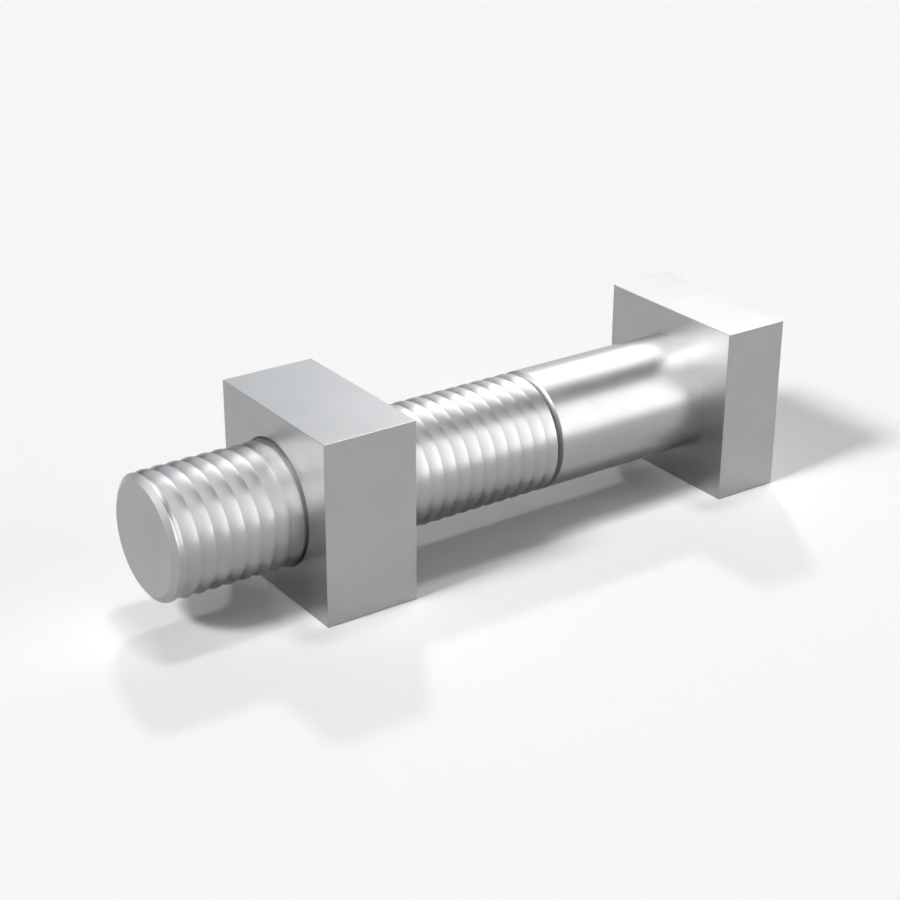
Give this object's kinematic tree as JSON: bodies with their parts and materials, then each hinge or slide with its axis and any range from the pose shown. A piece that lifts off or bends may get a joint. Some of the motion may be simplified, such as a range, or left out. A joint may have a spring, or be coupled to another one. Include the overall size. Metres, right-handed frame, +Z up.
{
  "type": "square head bolt with square nut",
  "caption": "Bare steel bolt with a square head, a plain shank and a coarse thread, carrying a square nut that runs along the thread; lies level on the flats of head and nut.",
  "frame": {"origin": "on the bolt's axis, in the plane of the head's bearing face", "axes": "+X along the bolt's axis towards the head, so the thread points to -X; +Z up, square to the flats that head and nut lie on; the object rests at z = -15 mm"},
  "size_m": [0.1121, 0.03, 0.03],
  "materials": {
    "bolt_steel": "bare satin steel",
    "nut_steel": "bare satin steel"
  },
  "bodies": {
    "bolt": {"bolt": "bolt_steel"},
    "nut": {"square_nut": "nut_steel"}
  },
  "joints": [
    {"name": "nut_travel", "type": "slide", "parent": "bolt", "child": "nut", "axis": [1, 0, 0], "range_m": [-0.035, 0.03]}
  ]
}
